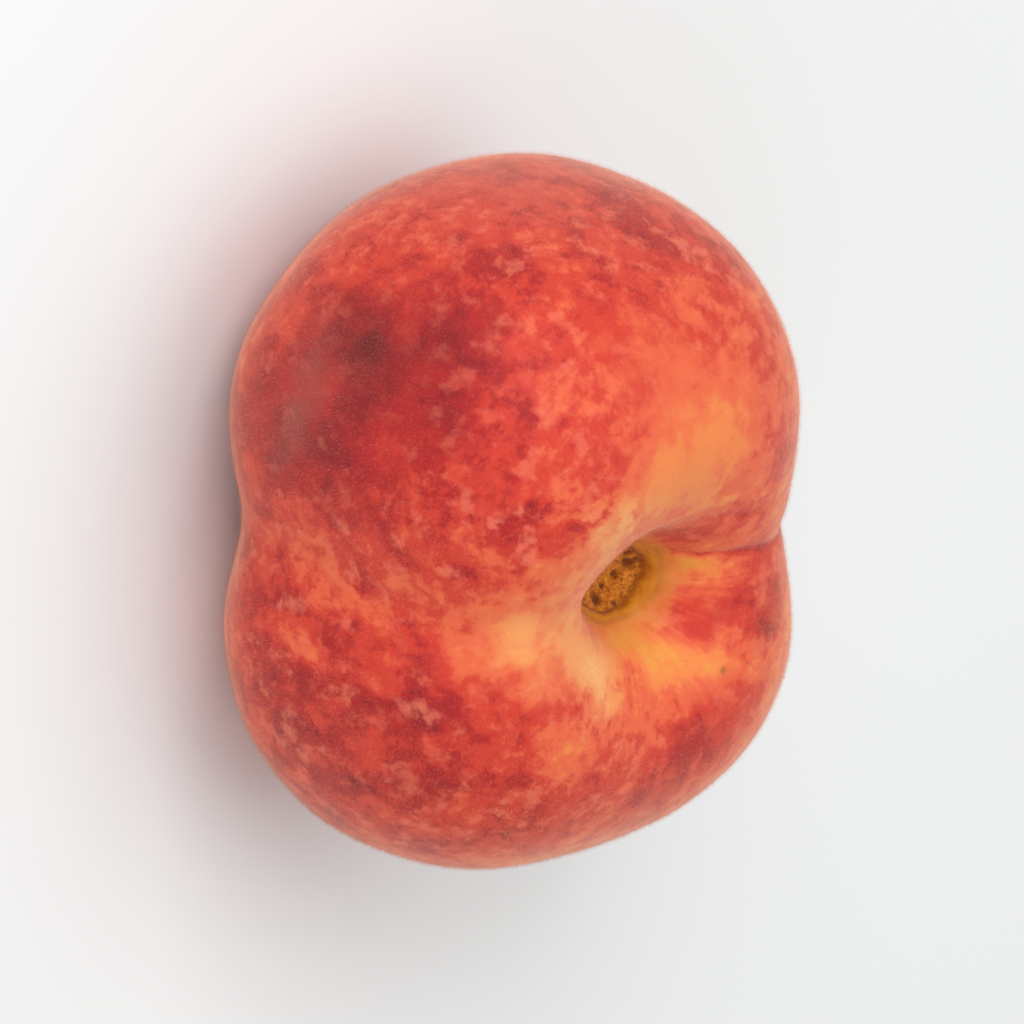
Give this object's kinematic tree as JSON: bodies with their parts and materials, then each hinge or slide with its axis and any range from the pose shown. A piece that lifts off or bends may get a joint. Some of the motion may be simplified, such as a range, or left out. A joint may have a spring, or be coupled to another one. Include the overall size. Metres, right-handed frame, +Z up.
{
  "type": "flat peach",
  "caption": "Squat two-cheeked stone fruit with a shallow seam right round it, a deep stem hollow on top and a wide blossom basin below, flattened a little where it rests.",
  "frame": {"origin": "bottom centre of the fruit's box, on the plane it rests on", "axes": "+Z up, from the blossom end to the stem end; +Y across the seam, towards the fuller cheek, and the longest way; X along the seam"},
  "size_m": [0.057, 0.0652, 0.0438],
  "materials": {
    "peach_skin": "fuzzy skin, matt, mottled red over orange-yellow"
  },
  "bodies": {
    "root": {"flat_peach": "peach_skin"}
  },
  "joints": []
}
